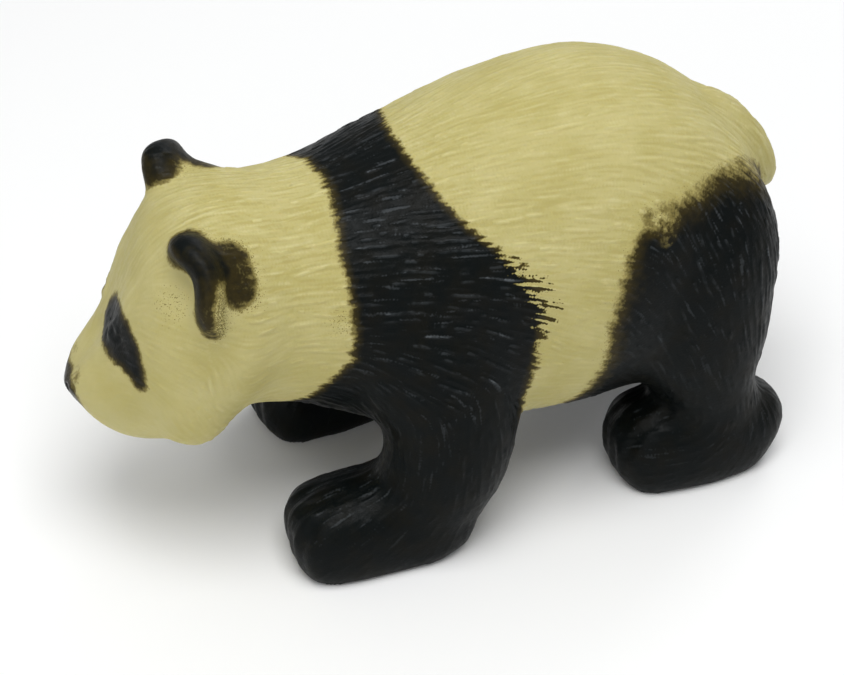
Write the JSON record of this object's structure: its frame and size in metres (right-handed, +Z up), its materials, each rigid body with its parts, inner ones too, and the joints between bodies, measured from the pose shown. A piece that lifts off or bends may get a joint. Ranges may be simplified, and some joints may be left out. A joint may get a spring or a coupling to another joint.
{
  "type": "panda figurine",
  "caption": "Solid moulded plastic figurine of a walking panda with its head held low, painted black over cream, standing on flat paw soles.",
  "frame": {"origin": "centre of the bounding box's base, on the plane the paws stand on", "axes": "-X is the way the animal faces, +Y its right side, +Z up"},
  "size_m": [0.0886, 0.0418, 0.0518],
  "materials": {
    "painted_plastic": "cream soft plastic, satin, sprayed black over the legs, shoulders, ears, eye patches and nose"
  },
  "bodies": {
    "root": {"panda_figure": "painted_plastic"}
  },
  "joints": []
}
